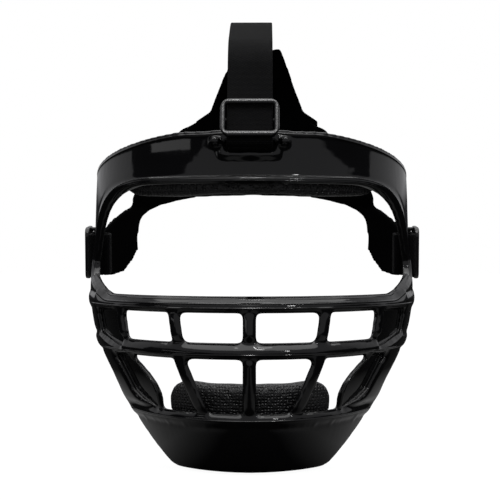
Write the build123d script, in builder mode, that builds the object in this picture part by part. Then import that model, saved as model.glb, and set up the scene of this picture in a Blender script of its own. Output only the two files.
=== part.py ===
"""Softball face guard: moulded shell, brow and chin pads, three strap slides and a head harness.

Millimetres. The origin is the centre of the wearer's head at eye level. The face looks along -Y,
+X is to the right as the guard is seen from the front, and +Z is up.
"""

from math import cos, radians, sin
import os

from build123d import *

# Outer form of the shell: at each height, half of an ellipse in plan. A half width is at the
# temples, a reach is how far the form stands forward of the temples.
above_band_level = 76.0
above_band_half_width = 96.0
above_band_reach = 97.5
band_level = 57.0
band_half_width = 96.8
band_reach = 98.4
brow_level = 38.5
brow_half_width = 97.5
brow_reach = 100.5
forehead_level = 20.0
forehead_half_width = 98.0
forehead_reach = 105.4
eye_level = 0.0
temple_half_width = 99.0
temple_reach = 112.0
cheek_level = -25.0
cheek_half_width = 101.0
cheek_reach = 122.0
lower_cheek_level = -40.0
lower_cheek_half_width = 99.4
lower_cheek_reach = 124.8
nose_level = -55.0
nose_half_width = 95.5
nose_reach = 126.0
mouth_level = -76.0
mouth_half_width = 86.0
mouth_reach = 125.0
lip_level = -88.0
lip_half_width = 80.4
lip_reach = 122.6
jaw_level = -100.0
jaw_half_width = 75.0
jaw_reach = 119.0
chin_level = -114.0
chin_half_width = 69.4
chin_reach = 113.6
below_chin_level = -128.0
below_chin_half_width = 64.0
below_chin_reach = 107.0

# Shell walls
panel_inset = 1.2
panel_wall = 3.0
rib_depth = 6.0
rim_width = 3.6
cage_rear = 44.0

# Side outline of the shell
band_front_top = 67.3
band_slope_run = 89.0
band_rear_top = 46.5
post_rear = 7.0
rear_top_radius = 12.0
jaw_hinge_level = -36.0
jaw_corner_back = 59.0
jaw_corner_level = -101.0
chin_bottom = -122.0
chin_rear = 82.0
jaw_radius = 14.0

# Eye opening
eye_top_level = 36.8
eye_top_edge = 46.0
eye_upper_radius = 58.0
eye_low_edge = 18.0
eye_low_level = -12.0
eye_lower_radius = 8.0
eye_ramp_edge = 66.0
eye_ramp_radius = 40.0

# Rails
upper_rail_height = 9.1
middle_rail_top = -50.0
middle_rail_height = 9.0
chin_lip_top = -88.4
chin_lip_height = 7.6

# Upright bars: where their centre lines cross each rail, as turns from the front in degrees
bar_width = 7.8
centre_bar_width = 7.6
outer_bar_width = 6.4
slant_bar_width = 8.4
curved_bar_width = 3.6
inner_bar_top_turn = 25.1
inner_bar_middle_turn = 24.5
slant_bar_top_turn = 24.8
slant_bar_low_turn = 19.4
outer_bar_turn = 48.9
curved_bar_turn_shares = [
    (48.2, 0.0),
    (45.2, 0.15),
    (42.2, 0.31),
    (39.9, 0.5),
    (38.9, 0.7),
    (39.5, 0.86),
    (40.6, 1.0),
]
window_start_share = 0.78
front_facing = 4.0
slant_facing = 34.0
side_facing = 62.0
almond_facing = 52.0
window_corner = 2.2
recess_depth = 4.4
side_recess_rear_turn = 68.5
side_recess_rear_low = -48.0
almond_rear_turn_shares = [(43.2, 0.98), (49.0, 0.86), (54.0, 0.7), (55.4, 0.45), (57.0, 0.17), (59.6, 0.03)]
almond_corner = 1.2

# Webbing and the slots that it passes through
webbing_width = 25.4
webbing_thickness = 1.8
slot_clearance = 1.6
slot_height = 5.2
crown_slot_level = 57.6
collar_margin = 4.0
knuckle_radius = 2.6
knuckle_depth = 1.4
knuckle_spread = 19.4
knuckle_level = 60.2
side_slot_back = -1.4
side_slot_level = -3.0

# Strap slide
slide_length = 32.8
slide_height = 23.6
slide_bar = 3.2
slide_plate = 2.6
slide_corner = 3.0
slide_edge = 0.5
slide_gap = 0.35
middle_bar_height = 3.4
middle_bar_depth = 2.4

# Crown strap, from the band's slot over the crown to the yoke
crown_run_front = 104.8
crown_run_tilt = 24.0
crown_slide_along = 15.8
crown_fold_radius = 2.4
crown_front_back = -78.0
crown_front_level = 116.5
crown_front_radius = 34.0
crown_peak_back = 2.0
crown_peak_level = 147.0
crown_peak_radius = 140.0
crown_rear_back = 61.0
crown_rear_level = 135.2
crown_rear_radius = 40.0
crown_tail_back = 79.1
crown_tail_level = 113.1
crown_tail_radius = 60.0
crown_end_back = 86.2
crown_end_level = 99.5
crown_seam_inset = 4.6

# Strap ends that turn back and are sewn round the slides' middle bars
return_gap = 0.4
return_turn_radius = 1.8
return_bend_radius = 3.0
return_inset = 3.0
return_rise = 8.6
return_lead = 1.2
return_lap = 2.4
side_return_back = 12.6
side_return_ramp = 5.6

# Temple straps, from the slots in the posts back to the arms
side_run_out = 101.6
side_run_tilt = 5.0
side_slide_along = 20.4
side_bend_along = 53.4
side_bend_radius = 22.0
side_end_along = 72.0
side_end_in = 16.8
side_seam_inset = 6.0

# Harness form: ellipses like the shell's, centred behind the temples
harness_centre_back = 34.0
harness_low_level = -24.0
harness_low_half_width = 101.5
harness_low_depth = 61.0
harness_ear_level = 12.0
harness_ear_half_width = 101.5
harness_ear_depth = 61.5
harness_mid_level = 42.0
harness_mid_half_width = 98.0
harness_mid_depth = 61.0
harness_high_level = 88.0
harness_high_half_width = 85.0
harness_high_depth = 55.0
harness_top_level = 114.0
harness_top_half_width = 70.0
harness_top_depth = 42.5
harness_crown_level = 138.0
harness_crown_half_width = 46.0
harness_crown_depth = 18.0

# Yoke and arms, cut from that form
yoke_thickness = 2.6
yoke_half_width = 42.0
yoke_top = 129.0
yoke_low = 38.0
yoke_low_drop = 1.5
yoke_top_shares = [(0.38, 1.0), (0.55, 0.9), (0.68, 0.8), (0.76, 0.735), (1.0, 0.682)]
arm_seam_gap = 0.4
arm_turn_half_width = 80.5
arm_turn_back = 72.0
arm_top_shares = [(0.62, 0.636), (1.0, 0.267)]
arm_low_shares = [(0.986, 0.077), (0.959, 0.116), (0.922, 0.177), (0.871, 0.208), (0.78, 0.236)]
ear_low_level = -17.0
ear_high_level = 34.5
ear_low_shares = [(1.0, 0.0), (0.951, 0.47), (0.889, 0.85), (0.77, 1.0), (0.639, 0.97)]
ear_high_shares = [(0.639, 0.36), (0.792, 0.62), (0.924, 0.826), (1.0, 1.0)]

# Brow and chin pads
hook_thickness = 1.7
hook_gap = 0.1
brow_pad_gap = 1.6
chin_pad_gap = 0.9
cover_thickness = 0.9
foam_gap = 0.1
brow_pad_depth = 11.0
brow_pad_low = 30.8
brow_pad_high = 54.0
brow_pad_turn = 54.0
brow_pad_drop = 0.5
brow_pad_edge = 3.6
brow_pad_crown = 2.0
chin_pad_depth = 13.0
chin_pad_low = -114.0
chin_pad_high = -73.0
chin_pad_turn = 25.4
chin_pad_drop = -2.0
chin_pad_edge = 4.5
chin_pad_crown = 3.0
pad_form_shares = [
    (-1.0, 0.52),
    (-0.96, 0.74),
    (-0.86, 0.92),
    (-0.66, 1.0),
    (-0.33, 1.0),
    (0.0, 1.0),
    (0.33, 1.0),
    (0.66, 1.0),
    (0.86, 0.92),
    (0.96, 0.74),
    (1.0, 0.52),
]
hook_strip_length = 24.0
hook_strip_height = 8.0
hook_strip_corner = 2.0
brow_hook_level = 46.4
brow_hook_spread = 46.0
chin_hook_level = -108.0
chin_hook_spread = 22.0

# Sewn joins
stitch_pitch = 2.6
stitch_length = 1.7
stitch_width = 0.6
stitch_height = 0.35
stitch_columns = 9
seam_row_pitch = 2.4
seam_rows = 3

SHELL_PROFILE = [
    (below_chin_level, below_chin_half_width, below_chin_reach),
    (chin_level, chin_half_width, chin_reach),
    (jaw_level, jaw_half_width, jaw_reach),
    (lip_level, lip_half_width, lip_reach),
    (mouth_level, mouth_half_width, mouth_reach),
    (nose_level, nose_half_width, nose_reach),
    (lower_cheek_level, lower_cheek_half_width, lower_cheek_reach),
    (cheek_level, cheek_half_width, cheek_reach),
    (eye_level, temple_half_width, temple_reach),
    (forehead_level, forehead_half_width, forehead_reach),
    (brow_level, brow_half_width, brow_reach),
    (band_level, band_half_width, band_reach),
    (above_band_level, above_band_half_width, above_band_reach),
]
HARNESS_PROFILE = [
    (harness_low_level, harness_low_half_width, harness_low_depth),
    (harness_ear_level, harness_ear_half_width, harness_ear_depth),
    (harness_mid_level, harness_mid_half_width, harness_mid_depth),
    (harness_high_level, harness_high_half_width, harness_high_depth),
    (harness_top_level, harness_top_half_width, harness_top_depth),
    (harness_crown_level, harness_crown_half_width, harness_crown_depth),
]

upper_rail_top = cheek_level
upper_rail_bottom = upper_rail_top - upper_rail_height
middle_rail_bottom = middle_rail_top - middle_rail_height
chin_lip_bottom = chin_lip_top - chin_lip_height
window_drop = middle_rail_bottom - chin_lip_top
slot_width = webbing_width + slot_clearance
slot_opening = slot_width / 2
far = above_band_reach + nose_reach


def form(profile, inset, centre_back=0):
    """A closed form through the ellipses of a profile, each drawn in by the inset."""
    with BuildPart() as body:
        for level, half_width, reach in profile:
            with BuildSketch(Plane((0, centre_back, level))):
                Ellipse(reach - inset, half_width - inset, rotation=90)
        loft()
    return body.part


def wall(profile, outer_inset, inner_inset, centre_back=0):
    """The wall between two insets of the same profile."""
    with BuildPart() as body:
        add(form(profile, outer_inset, centre_back))
        add(form(profile, inner_inset, centre_back), mode=Mode.SUBTRACT)
    return body.part


def ellipse_at(level):
    """Half width and reach of the shell's outer form at a height, between its named levels."""
    for low, high in zip(SHELL_PROFILE, SHELL_PROFILE[1:]):
        if level <= high[0]:
            break
    share = (level - low[0]) / (high[0] - low[0])
    return tuple(low[i] + share * (high[i] - low[i]) for i in (1, 2))


def facing_plane(facing):
    """An upright plane through the origin that faces out of the shell at a turn from the front."""
    angle = radians(facing)
    return Plane((0, 0, 0), x_dir=(cos(angle), sin(angle), 0), z_dir=(sin(angle), -cos(angle), 0))


def across(turn, level, facing, shift=0):
    """Where a place on the outer form falls on a facing plane, moved sideways by the shift."""
    half_width, reach = ellipse_at(level)
    x = half_width * sin(radians(turn))
    y = -reach * cos(radians(turn))
    return x * cos(radians(facing)) + y * sin(radians(facing)) + shift, level


def window(points, facing, corner):
    """Cutters for a window and its mirror image, straight out through the shell at that turn."""
    plane = facing_plane(facing)
    with BuildPart() as cutter:
        with BuildSketch(plane.offset(window_start_share * above_band_reach)) as outline:
            with BuildLine():
                Polyline(*points, close=True)
            make_face()
            fillet(outline.vertices(), corner)
        extrude(amount=far, dir=plane.z_dir)
    return [cutter.part, mirror(cutter.part, about=Plane.YZ)]


def recess(points, facing, corner):
    """Cutters like those of a window that stop inside the wall and leave its inner skin."""
    skin = form(SHELL_PROFILE, recess_depth)
    return [cutter - skin for cutter in window(points, facing, corner)]


def lower_level(share):
    """A height between the middle rail and the chin lip."""
    return middle_rail_bottom - share * window_drop


# Side outline of the shell, drawn as (back, up)
band_slope = (band_front_top - band_rear_top) / band_slope_run
with BuildSketch() as side_outline:
    with BuildLine():
        FilletPolyline(
            (-far, band_front_top + band_slope * (far - above_band_reach)),
            (band_slope_run - above_band_reach, band_rear_top),
            (post_rear, band_rear_top - band_slope * rear_top_radius),
            (post_rear, jaw_hinge_level),
            (-jaw_corner_back, jaw_corner_level),
            (-chin_rear, chin_bottom),
            (-far, chin_bottom),
            radius=(0, rear_top_radius, rear_top_radius / 3, jaw_radius, jaw_radius, jaw_radius, 0),
            close=True,
        )
    make_face()

# Eye opening, drawn as (back, up)
with BuildSketch() as eye_outline:
    with BuildLine():
        FilletPolyline(
            (-far, upper_rail_top),
            (-eye_ramp_edge, upper_rail_top),
            (-eye_low_edge, eye_low_level),
            (-eye_top_edge, eye_top_level),
            (-far, eye_top_level),
            radius=(0, eye_ramp_radius, eye_lower_radius, eye_upper_radius, 0),
            close=True,
        )
    make_face()

# Where the wall is as deep as a rib: rims, rails, the cage and the collar of the crown slot
with BuildSketch() as rib_outline:
    add(side_outline.sketch)
    offset(side_outline.sketch, amount=-rim_width, mode=Mode.SUBTRACT)
    offset(eye_outline.sketch, amount=rim_width)
    with Locations((-far / 2, (upper_rail_top + upper_rail_bottom) / 2)):
        Rectangle(far + 2 * post_rear, upper_rail_height)
    with Locations((-far / 2, (middle_rail_top + middle_rail_bottom) / 2)):
        Rectangle(far + 2 * post_rear, middle_rail_height)
    with Locations((-(far + cage_rear) / 2, (upper_rail_top + chin_lip_bottom) / 2)):
        Rectangle(far - cage_rear, upper_rail_top - chin_lip_bottom)
    add(side_outline.sketch, mode=Mode.INTERSECT)
    add(eye_outline.sketch, mode=Mode.SUBTRACT)

with BuildPart() as rib_region:
    with BuildSketch(Plane.YZ):
        add(rib_outline.sketch)
    extrude(amount=far, both=True)
    with BuildSketch(Plane.XZ):
        with Locations((0, crown_slot_level)):
            RectangleRounded(
                slot_width + 2 * collar_margin,
                slot_height + 2 * collar_margin,
                slot_height / 2,
            )
    extrude(amount=far)

with BuildPart() as ribs:
    add(wall(SHELL_PROFILE, 0, rib_depth))
    add(rib_region.part, mode=Mode.INTERSECT)

upper_inner_window = window(
    [
        (across(0, upper_rail_bottom, front_facing)[0] + centre_bar_width / 2, upper_rail_bottom),
        across(inner_bar_top_turn, upper_rail_bottom, front_facing, -bar_width / 2),
        across(inner_bar_middle_turn, middle_rail_top, front_facing, -bar_width / 2),
        (across(0, middle_rail_top, front_facing)[0] + centre_bar_width / 2, middle_rail_top),
    ],
    front_facing,
    window_corner,
)
upper_outer_window = window(
    [
        across(inner_bar_top_turn, upper_rail_bottom, slant_facing, bar_width / 2),
        across(outer_bar_turn, upper_rail_bottom, slant_facing, -outer_bar_width / 2),
        across(outer_bar_turn, middle_rail_top, slant_facing, -outer_bar_width / 2),
        across(inner_bar_middle_turn, middle_rail_top, slant_facing, bar_width / 2),
    ],
    slant_facing,
    window_corner,
)
upper_side_recess = recess(
    [
        across(outer_bar_turn, upper_rail_bottom, side_facing, outer_bar_width / 2),
        across(side_recess_rear_turn, upper_rail_bottom, side_facing),
        across(side_recess_rear_turn, side_recess_rear_low, side_facing),
        across(outer_bar_turn, nose_level, side_facing, outer_bar_width / 2),
    ],
    side_facing,
    window_corner,
)
lower_inner_window = window(
    [
        (across(0, middle_rail_bottom, front_facing)[0] + centre_bar_width / 2, middle_rail_bottom),
        across(slant_bar_top_turn, middle_rail_bottom, front_facing, -slant_bar_width / 2),
        across(slant_bar_low_turn, chin_lip_top, front_facing, -slant_bar_width / 2),
        (across(0, chin_lip_top, front_facing)[0] + centre_bar_width / 2, chin_lip_top),
    ],
    front_facing,
    window_corner,
)
curved_bar = [(turn, lower_level(share)) for turn, share in curved_bar_turn_shares]
lower_outer_window = window(
    [
        across(slant_bar_low_turn, chin_lip_top, slant_facing, slant_bar_width / 2),
        across(slant_bar_top_turn, middle_rail_bottom, slant_facing, slant_bar_width / 2),
        *(across(turn, level, slant_facing, -curved_bar_width / 2) for turn, level in curved_bar),
    ],
    slant_facing,
    almond_corner,
)
almond_recess = recess(
    [
        *(across(turn, level, almond_facing, curved_bar_width / 2) for turn, level in curved_bar),
        *(across(turn, lower_level(share), almond_facing) for turn, share in almond_rear_turn_shares),
    ],
    almond_facing,
    almond_corner,
)

# Temple strap runs: `along` is back up the strap from the slot, `out` is away from the head
side_angle = radians(side_run_tilt)
side_origin = Vector(side_run_out, side_slot_back, side_slot_level)
side_along = Vector(0, cos(side_angle), sin(side_angle))
side_path_plane = Plane(side_origin, x_dir=side_along, z_dir=(0, -sin(side_angle), cos(side_angle)))
side_slide_plane = Plane(
    side_origin + side_along * side_slide_along,
    x_dir=(0, sin(side_angle), -cos(side_angle)),
    z_dir=(1, 0, 0),
)

# Crown strap run, in the YZ plane
crown_angle = radians(crown_run_tilt)
crown_slide_plane = Plane(
    (
        0,
        crown_slide_along * sin(crown_angle) - crown_run_front,
        crown_slide_along * cos(crown_angle) + crown_slot_level,
    ),
    x_dir=(1, 0, 0),
    z_dir=(0, -cos(crown_angle), sin(crown_angle)),
)


def crown_place(along, out):
    """A place beside the crown strap's straight run, as (back, up)."""
    return (
        along * sin(crown_angle) - out * cos(crown_angle) - crown_run_front,
        along * cos(crown_angle) + out * sin(crown_angle) + crown_slot_level,
    )


# Moulded shell
with BuildPart() as mask_shell:
    add(wall(SHELL_PROFILE, panel_inset, panel_inset + panel_wall))
    with BuildSketch(Plane.YZ):
        add(side_outline.sketch)
        add(eye_outline.sketch, mode=Mode.SUBTRACT)
    extrude(amount=far, both=True, mode=Mode.INTERSECT)
    add(ribs.part)
    with BuildSketch(Plane.XZ.offset(ellipse_at(crown_slot_level)[1] - rib_depth)):
        with Locations((-knuckle_spread, knuckle_level), (knuckle_spread, knuckle_level)):
            Circle(knuckle_radius)
    extrude(amount=rib_depth + knuckle_depth)
    add(
        [
            *upper_inner_window,
            *upper_outer_window,
            *upper_side_recess,
            *lower_inner_window,
            *lower_outer_window,
            *almond_recess,
        ],
        mode=Mode.SUBTRACT,
    )
    with BuildSketch(Plane.XZ):
        with Locations((0, crown_slot_level)):
            SlotOverall(slot_width + slot_clearance, slot_height)
    extrude(amount=far, mode=Mode.SUBTRACT)
    with BuildSketch(Plane(side_origin, x_dir=side_along, z_dir=(1, 0, 0))):
        SlotOverall(slot_width + slot_clearance, slot_height, rotation=90)
    extrude(amount=far, both=True, mode=Mode.SUBTRACT)
mask_shell.part.label = "mask_shell"


def strap_slide():
    """A three-bar slide lying flat: the webbing runs along Y, its middle bar lies under the webbing."""
    top = webbing_thickness / 2 + slide_gap
    with BuildPart() as body:
        with BuildSketch(Plane.XY.offset(top)):
            RectangleRounded(slide_length, slide_height, slide_corner)
            RectangleRounded(slot_width, slide_height - 2 * slide_bar, slide_edge, mode=Mode.SUBTRACT)
        extrude(amount=slide_plate)
        fillet(body.faces().sort_by(Axis.Z)[-1].edges(), slide_edge)
        with BuildSketch(Plane.XZ.offset(-middle_bar_height / 2)):
            with Locations((0, -top - middle_bar_depth / 2)):
                Rectangle(slide_length - 2 * slide_edge, middle_bar_depth)
            for side in (-1, 1):
                with Locations((side * (slide_length / 2 + slot_opening) / 2 - side * slide_edge / 2, 0)):
                    Rectangle(slide_length / 2 - slot_opening - slide_edge, 2 * (top + slide_edge))
        extrude(amount=middle_bar_height)
    return body.part


with BuildPart() as top_slide:
    with Locations(crown_slide_plane):
        add(strap_slide())
top_slide.part.label = "top_slide"

with BuildPart() as right_slide:
    with Locations(side_slide_plane):
        add(strap_slide())
right_slide.part.label = "right_slide"

with BuildPart() as left_slide:
    add(mirror(right_slide.part, about=Plane.YZ))
left_slide.part.label = "left_slide"


def ribbon(plane, points, radii):
    """Webbing along a path on a plane, centred across it."""
    with BuildPart() as body:
        with BuildSketch(plane):
            with BuildLine() as path:
                FilletPolyline(*points, radius=radii)
            trace(path.line, line_width=webbing_thickness)
        extrude(amount=webbing_width / 2, both=True)
    return body.part


# Crown strap and the end of it that turns back to its slide
crown_slot_depth = ellipse_at(crown_slot_level)[1] - rib_depth - return_gap
bar_behind = webbing_thickness + slide_gap + middle_bar_depth + hook_gap
with BuildPart() as top_strap:
    add(
        ribbon(
            Plane.YZ,
            [
                (-crown_slot_depth, crown_slot_level),
                (-crown_run_front, crown_slot_level),
                (crown_front_back, crown_front_level),
                (crown_peak_back, crown_peak_level),
                (crown_rear_back, crown_rear_level),
                (crown_tail_back, crown_tail_level),
                (crown_end_back, crown_end_level),
            ],
            (
                crown_fold_radius,
                crown_front_radius,
                crown_peak_radius,
                crown_rear_radius,
                crown_tail_radius,
            ),
        )
    )
top_strap.part.label = "top_strap"

with BuildPart() as top_strap_return:
    add(
        ribbon(
            Plane.YZ,
            [
                (-crown_slot_depth, crown_slot_level),
                (return_inset - crown_slot_depth, crown_slot_level),
                (return_inset - crown_slot_depth, crown_slot_level + return_rise),
                crown_place(crown_slide_along - return_lead, -bar_behind),
                crown_place(crown_slide_along + return_lap, -bar_behind),
            ],
            (return_turn_radius, return_bend_radius, return_turn_radius),
        )
    )
top_strap_return.part.label = "top_strap_return"

# Temple straps and the ends of them that turn back to their slides
side_slot_depth = side_run_out + rib_depth + return_gap - temple_half_width
with BuildPart() as right_side_strap:
    add(
        ribbon(
            side_path_plane,
            [
                (0, side_slot_depth),
                (0, 0),
                (side_bend_along, 0),
                (side_end_along, side_end_in),
            ],
            (crown_fold_radius, side_bend_radius),
        )
    )
right_side_strap.part.label = "right_side_strap"

with BuildPart() as left_side_strap:
    add(mirror(right_side_strap.part, about=Plane.YZ))
left_side_strap.part.label = "left_side_strap"

with BuildPart() as right_strap_return:
    add(
        ribbon(
            side_path_plane,
            [
                (0, side_slot_depth),
                (0, side_slot_depth + return_inset),
                (side_return_back, side_slot_depth + return_inset),
                (side_return_back + side_return_ramp, bar_behind),
                (side_slide_along + return_lap, bar_behind),
            ],
            (return_turn_radius, return_bend_radius, return_bend_radius),
        )
    )
right_strap_return.part.label = "right_strap_return"

with BuildPart() as left_strap_return:
    add(mirror(right_strap_return.part, about=Plane.YZ))
left_strap_return.part.label = "left_strap_return"

# Harness: a bell-shaped panel behind the head and an arm to each temple
harness_wall = wall(HARNESS_PROFILE, 0, yoke_thickness, harness_centre_back)
yoke_side = [(across * yoke_half_width, up * yoke_top) for across, up in yoke_top_shares]
with BuildPart() as rear_yoke:
    add(harness_wall)
    with BuildSketch(Plane.XZ.offset(-harness_centre_back)):
        with BuildLine():
            Polyline(
                *yoke_side,
                (yoke_half_width, yoke_low - yoke_low_drop),
                (0, yoke_low),
                (-yoke_half_width, yoke_low - yoke_low_drop),
                *((-across, up) for across, up in reversed(yoke_side)),
                close=True,
            )
        make_face()
    extrude(amount=-far, mode=Mode.INTERSECT)
rear_yoke.part.label = "rear_yoke"

arm_start = yoke_half_width + arm_seam_gap
with BuildPart() as arm_region:
    with BuildSketch(Plane.XZ.offset(-harness_centre_back)):
        with BuildLine():
            Polyline(
                (arm_start, yoke_side[-1][1]),
                *((across * arm_turn_half_width, up * yoke_top) for across, up in arm_top_shares),
                (arm_turn_half_width, 0),
                *((across * arm_turn_half_width, up * yoke_top) for across, up in arm_low_shares),
                (arm_start, yoke_low - yoke_low_drop),
                close=True,
            )
        make_face()
    extrude(amount=-far)
    with BuildSketch(Plane.YZ.offset(harness_mid_depth)):
        with BuildLine():
            Polyline(
                *((back * arm_turn_back, up * ear_low_level) for back, up in ear_low_shares),
                *((back * arm_turn_back, up * ear_high_level) for back, up in ear_high_shares),
                close=True,
            )
        make_face()
    extrude(amount=far)

with BuildPart() as right_arm:
    add(harness_wall)
    add(arm_region.part, mode=Mode.INTERSECT)
right_arm.part.label = "right_arm"

with BuildPart() as left_arm:
    add(mirror(right_arm.part, about=Plane.YZ))
left_arm.part.label = "left_arm"


def behind(level, turn, inset):
    """How far a place inside the outer form is from the centre, at a turn in plan."""
    half_width, reach = ellipse_at(level)
    across_share = sin(radians(turn)) / (half_width - inset)
    ahead_share = cos(radians(turn)) / (reach - inset)
    return 1 / (across_share**2 + ahead_share**2) ** (1 / 2)


def pad(gap, turn, low, high, drop, depth, edge, crown, cover):
    """A crowned cushion behind the shell that draws in towards its ends, inside its cover."""
    front = rib_depth + gap + cover
    rear = rib_depth + gap + depth - cover
    with BuildPart() as body:
        for turn_share, height_share in pad_form_shares:
            angle = radians(turn * turn_share)
            middle = (low + high) / 2 - drop * turn_share**2
            half = height_share * (high - low) / 2 - cover
            bulge = crown * height_share
            ahead = Vector(sin(angle), -cos(angle), 0)
            station = Plane((0, 0, 0), x_dir=ahead, z_dir=(ahead.Y, -ahead.X, 0))
            with BuildSketch(station):
                with BuildLine():
                    FilletPolyline(
                        (behind(middle - half, turn * turn_share, front), middle - half),
                        (behind(middle + half, turn * turn_share, front), middle + half),
                        (behind(middle + half, turn * turn_share, rear), middle + half),
                        (behind(middle, turn * turn_share, rear + bulge), middle),
                        (behind(middle - half, turn * turn_share, rear), middle - half),
                        radius=(edge - cover, edge - cover, edge - cover, half, edge - cover),
                        close=True,
                    )
                make_face()
        loft()
    return body.part


def hook_strips(levels_and_spreads):
    """Hook-and-loop strips on the inside of the shell's panel."""
    outer = panel_inset + panel_wall + hook_gap
    with BuildPart() as body:
        add(wall(SHELL_PROFILE, outer, outer + hook_thickness))
        with BuildSketch(Plane.XZ):
            with Locations(*((spread, level) for spread, level in levels_and_spreads)):
                RectangleRounded(hook_strip_length, hook_strip_height, hook_strip_corner)
        extrude(amount=far, mode=Mode.INTERSECT)
    return body.part


brow_pad_sizes = (
    brow_pad_gap,
    brow_pad_turn,
    brow_pad_low,
    brow_pad_high,
    brow_pad_drop,
    brow_pad_depth,
    brow_pad_edge,
    brow_pad_crown,
)
chin_pad_sizes = (
    chin_pad_gap,
    chin_pad_turn,
    chin_pad_low,
    chin_pad_high,
    chin_pad_drop,
    chin_pad_depth,
    chin_pad_edge,
    chin_pad_crown,
)

with BuildPart() as brow_pad_foam:
    add(pad(*brow_pad_sizes, cover_thickness + foam_gap))
brow_pad_foam.part.label = "brow_pad_foam"

with BuildPart() as brow_pad_cover:
    add(pad(*brow_pad_sizes, 0))
    add(pad(*brow_pad_sizes, cover_thickness), mode=Mode.SUBTRACT)
brow_pad_cover.part.label = "brow_pad_cover"

with BuildPart() as chin_pad_foam:
    add(pad(*chin_pad_sizes, cover_thickness + foam_gap))
chin_pad_foam.part.label = "chin_pad_foam"

with BuildPart() as chin_pad_cover:
    add(pad(*chin_pad_sizes, 0))
    add(pad(*chin_pad_sizes, cover_thickness), mode=Mode.SUBTRACT)
chin_pad_cover.part.label = "chin_pad_cover"

with BuildPart() as brow_hook_strips:
    add(
        hook_strips(
            [
                (-brow_hook_spread, brow_hook_level),
                (0, brow_hook_level),
                (brow_hook_spread, brow_hook_level),
            ]
        )
    )
brow_hook_strips.part.label = "brow_hook_strips"

with BuildPart() as chin_hook_strips:
    add(
        hook_strips(
            [
                (-chin_hook_spread, chin_hook_level),
                (chin_hook_spread, chin_hook_level),
            ]
        )
    )
chin_hook_strips.part.label = "chin_hook_strips"


def seam(plane):
    """Rows of stitches that stand on a strap's outer face, across it."""
    with BuildPart() as body:
        with BuildSketch(plane):
            with GridLocations(stitch_pitch, seam_row_pitch, stitch_columns, seam_rows):
                SlotOverall(stitch_length, stitch_width)
        extrude(amount=stitch_height)
    return body.part


# Sewn joins of the crown strap to the yoke and of the temple straps to the arms
tail_run = Vector(0, crown_end_back - crown_tail_back, crown_end_level - crown_tail_level).normalized()
tail_out = Vector(1, 0, 0).cross(tail_run)
with BuildPart() as crown_seam_stitches:
    add(
        seam(
            Plane(
                Vector(0, crown_end_back, crown_end_level)
                - tail_run * crown_seam_inset
                + tail_out * (webbing_thickness / 2),
                x_dir=(1, 0, 0),
                z_dir=tail_out,
            )
        )
    )
crown_seam_stitches.part.label = "crown_seam_stitches"

side_end = side_path_plane.from_local_coords(Vector(side_end_along, side_end_in, 0))
side_bend = side_path_plane.from_local_coords(Vector(side_bend_along, 0, 0))
side_tail_run = (side_end - side_bend).normalized()
side_tail_out = side_path_plane.z_dir.cross(side_tail_run) * -1
with BuildPart() as right_seam_stitches:
    add(
        seam(
            Plane(
                side_end - side_tail_run * side_seam_inset + side_tail_out * (webbing_thickness / 2),
                x_dir=side_path_plane.z_dir,
                z_dir=side_tail_out,
            )
        )
    )
right_seam_stitches.part.label = "right_seam_stitches"

with BuildPart() as left_seam_stitches:
    add(mirror(right_seam_stitches.part, about=Plane.YZ))
left_seam_stitches.part.label = "left_seam_stitches"

os.makedirs("parts", exist_ok=True)
export_step(mask_shell.part, "parts/mask_shell.step")
export_step(top_slide.part, "parts/top_slide.step")
export_step(left_slide.part, "parts/left_slide.step")
export_step(right_slide.part, "parts/right_slide.step")
export_step(top_strap.part, "parts/top_strap.step")
export_step(top_strap_return.part, "parts/top_strap_return.step")
export_step(left_side_strap.part, "parts/left_side_strap.step")
export_step(right_side_strap.part, "parts/right_side_strap.step")
export_step(left_strap_return.part, "parts/left_strap_return.step")
export_step(right_strap_return.part, "parts/right_strap_return.step")
export_step(rear_yoke.part, "parts/rear_yoke.step")
export_step(left_arm.part, "parts/left_arm.step")
export_step(right_arm.part, "parts/right_arm.step")
export_step(brow_pad_cover.part, "parts/brow_pad_cover.step")
export_step(brow_pad_foam.part, "parts/brow_pad_foam.step")
export_step(chin_pad_cover.part, "parts/chin_pad_cover.step")
export_step(chin_pad_foam.part, "parts/chin_pad_foam.step")
export_step(brow_hook_strips.part, "parts/brow_hook_strips.step")
export_step(chin_hook_strips.part, "parts/chin_hook_strips.step")
export_step(crown_seam_stitches.part, "parts/crown_seam_stitches.step")
export_step(left_seam_stitches.part, "parts/left_seam_stitches.step")
export_step(right_seam_stitches.part, "parts/right_seam_stitches.step")
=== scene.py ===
"""Studio scene of a softball face guard: glossy moulded shell, padded brow and chin, strap harness."""

import logging
import math
from dataclasses import dataclass
from enum import Enum

import bmesh
import bpy
from mathutils import Matrix, Vector
from mathutils.kdtree import KDTree


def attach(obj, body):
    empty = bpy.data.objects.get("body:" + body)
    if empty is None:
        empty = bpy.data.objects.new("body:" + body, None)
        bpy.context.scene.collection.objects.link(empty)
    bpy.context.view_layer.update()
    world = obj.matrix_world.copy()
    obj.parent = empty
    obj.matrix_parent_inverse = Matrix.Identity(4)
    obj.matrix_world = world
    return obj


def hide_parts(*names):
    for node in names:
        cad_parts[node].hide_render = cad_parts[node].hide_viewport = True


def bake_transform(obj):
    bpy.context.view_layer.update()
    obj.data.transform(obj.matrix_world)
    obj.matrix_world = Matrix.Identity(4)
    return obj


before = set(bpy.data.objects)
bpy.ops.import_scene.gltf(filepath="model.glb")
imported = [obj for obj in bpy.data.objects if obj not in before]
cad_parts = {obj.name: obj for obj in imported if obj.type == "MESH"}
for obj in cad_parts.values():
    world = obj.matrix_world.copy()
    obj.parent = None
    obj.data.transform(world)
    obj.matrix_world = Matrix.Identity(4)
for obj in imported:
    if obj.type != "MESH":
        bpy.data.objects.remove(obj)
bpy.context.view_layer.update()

MM = 0.001
MERGE_DISTANCE = 0.002 * MM
GUARD_BODY = "guard"

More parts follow.
